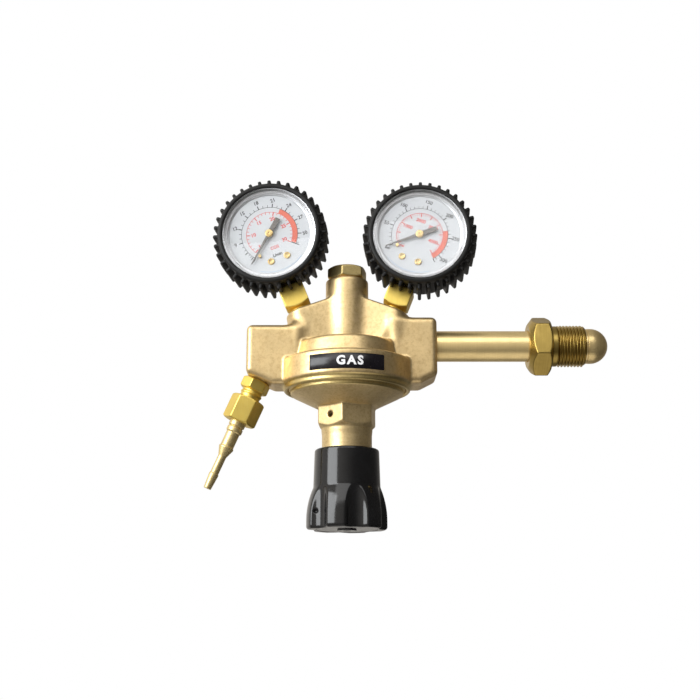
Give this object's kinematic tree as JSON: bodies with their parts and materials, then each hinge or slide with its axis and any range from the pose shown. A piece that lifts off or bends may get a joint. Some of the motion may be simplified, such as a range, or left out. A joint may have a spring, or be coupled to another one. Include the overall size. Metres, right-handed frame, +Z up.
{
  "type": "gas regulator",
  "caption": "Single-stage gas regulator with flow and cylinder pressure gauges in ribbed boots, bullnose inlet nut, adjusting knob and hose tail outlet.",
  "frame": {"origin": "middle of the inlet nut's external thread, on the inlet axis", "axes": "+X along the inlet axis towards the cylinder valve; +Z up along the diaphragm axis, towards the gauges; the dials face -Y"},
  "size_m": [0.2211, 0.0729, 0.1938],
  "materials": {
    "forging_brass": "satin cast brass, fine grain",
    "machined_brass": "turned",
    "bonnet_brass": "satin, turned below the hexagon",
    "nut_brass": "turned, dull",
    "tube_brass": "brushed round",
    "fitting_brass": "bright yellow, machined",
    "tail_brass": "turned",
    "copper_seal": "copper, soft",
    "spring_steel": "ground",
    "seat_plastic": "moulded",
    "diaphragm_rubber": "fabric-reinforced sheet",
    "sintered_bronze": "porous",
    "knob_plastic": "glossy moulded",
    "end_plate_plastic": "moulded",
    "label_black": "printed film",
    "label_white": "printed film",
    "boot_rubber": "matte moulded",
    "case_steel": "black enamel",
    "lens_plastic": "clear moulded",
    "dial_white": "white enamel",
    "dial_black": "printed",
    "dial_blue": "printed",
    "dial_red": "printed",
    "dial_band": "printed",
    "pointer_paint": "grey-brown enamel",
    "movement_brass": "stamped and turned",
    "bourdon_bronze": "phosphor bronze"
  },
  "bodies": {
    "root": {"body_forging": "forging_brass", "top_plug": "machined_brass", "plug_seal": "copper_seal", "poppet_spring": "spring_steel", "seat_nozzle": "machined_brass", "diaphragm": "diaphragm_rubber", "slip_ring": "spring_steel", "range_spring": "spring_steel", "bonnet": "bonnet_brass", "label_plate": "label_black", "inlet_stem": "tube_brass", "inlet_filter": "sintered_bronze", "outlet_adaptor": "fitting_brass", "outlet_orifice": "spring_steel", "outlet_nut": "fitting_brass", "hose_tail": "tail_brass", "flow_boot": "boot_rubber", "flow_case": "case_steel", "flow_lens": "lens_plastic", "flow_dial": "dial_white", "flow_dial_screws": "movement_brass", "flow_stop_pin": "movement_brass", "flow_stem": "fitting_brass", "flow_bourdon_tube": "bourdon_bronze", "flow_movement_plates": "movement_brass", "flow_hairspring": "spring_steel", "cylinder_boot": "boot_rubber", "cylinder_case": "case_steel", "cylinder_lens": "lens_plastic", "cylinder_dial": "dial_white", "cylinder_dial_screws": "movement_brass", "cylinder_stop_pin": "movement_brass", "cylinder_stem": "fitting_brass", "cylinder_bourdon_tube": "bourdon_bronze", "cylinder_movement_plates": "movement_brass", "cylinder_hairspring": "spring_steel"},
    "inlet_nut": {"inlet_nut": "nut_brass"},
    "button": {"spring_button": "machined_brass"},
    "knob": {"knob": "knob_plastic", "knob_cap": "end_plate_plastic", "knob_insert": "machined_brass", "adjusting_screw": "spring_steel"},
    "valve": {"valve_poppet": "machined_brass", "seat_disc": "seat_plastic", "valve_pin": "spring_steel", "diaphragm_plate": "machined_brass"},
    "flow_pointer_set": {"flow_pinion": "movement_brass", "flow_pointer": "pointer_paint", "flow_pointer_cap": "movement_brass"},
    "flow_sector": {"flow_sector_gear": "movement_brass"},
    "flow_link_bar": {"flow_link": "spring_steel"},
    "cylinder_pointer_set": {"cylinder_pinion": "movement_brass", "cylinder_pointer": "pointer_paint", "cylinder_pointer_cap": "movement_brass"},
    "cylinder_sector": {"cylinder_sector_gear": "movement_brass"},
    "cylinder_link_bar": {"cylinder_link": "spring_steel"}
  },
  "joints": [
    {"name": "inlet_nut_turn", "type": "hinge", "parent": "root", "child": "inlet_nut", "pos_m": [0, 0, 0], "axis": [1, 0, 0], "continuous": true},
    {"name": "button_travel", "type": "slide", "parent": "root", "child": "button", "axis": [0, 0, 1], "range_m": [0, 0.008], "deforming": ["range_spring"]},
    {"name": "knob_turn", "type": "hinge", "parent": "button", "child": "knob", "pos_m": [-0.12337, 0, -0.08], "axis": [0, 0, 1], "range_deg": [0, 1440]},
    {"name": "valve_lift", "type": "slide", "parent": "root", "child": "valve", "axis": [0, 0, 1], "range_m": [0, 0.0008], "deforming": ["poppet_spring", "diaphragm"]},
    {"name": "flow_sector_swing", "type": "hinge", "parent": "root", "child": "flow_sector", "pos_m": [-0.16135, -0.00978, 0.04877], "axis": [0.0649, 0.9976, 0.0256], "range_deg": [-43.67, 0], "deforming": ["flow_bourdon_tube"]},
    {"name": "flow_pointer_turn", "type": "hinge", "parent": "root", "child": "flow_pointer_set", "pos_m": [-0.16585, -0.00998, 0.06016], "axis": [0.0649, 0.9976, 0.0256], "range_deg": [0, 262], "deforming": ["flow_hairspring"]},
    {"name": "flow_link_turn", "type": "hinge", "parent": "flow_sector", "child": "flow_link_bar", "pos_m": [-0.15712, -0.00945, 0.04876], "axis": [0.0649, 0.9976, 0.0256], "range_deg": [0, 43.67]},
    {"name": "cylinder_sector_swing", "type": "hinge", "parent": "root", "child": "cylinder_sector", "pos_m": [-0.08717, -0.00978, 0.04801], "axis": [0.0649, 0.9976, -0.0256], "range_deg": [-43.67, 0], "deforming": ["cylinder_bourdon_tube"]},
    {"name": "cylinder_pointer_turn", "type": "hinge", "parent": "root", "child": "cylinder_pointer_set", "pos_m": [-0.08269, -0.00998, 0.05942], "axis": [0.0649, 0.9976, -0.0256], "range_deg": [0, 262], "deforming": ["cylinder_hairspring"]},
    {"name": "cylinder_link_turn", "type": "hinge", "parent": "cylinder_sector", "child": "cylinder_link_bar", "pos_m": [-0.08408, -0.00945, 0.04512], "axis": [0.0649, 0.9976, -0.0256], "range_deg": [0, 43.67]}
  ],
  "couplings": [
    {"joint": "button_travel", "follows": "knob_turn", "m_per_rad": 0.00031831},
    {"joint": "valve_lift", "follows": "knob_turn", "m_per_rad": 0.000031831},
    {"joint": "flow_pointer_turn", "follows": "flow_sector_swing", "ratio": -6},
    {"joint": "flow_link_turn", "follows": "flow_sector_swing", "ratio": -1},
    {"joint": "cylinder_pointer_turn", "follows": "cylinder_sector_swing", "ratio": -6},
    {"joint": "cylinder_link_turn", "follows": "cylinder_sector_swing", "ratio": -1}
  ]
}
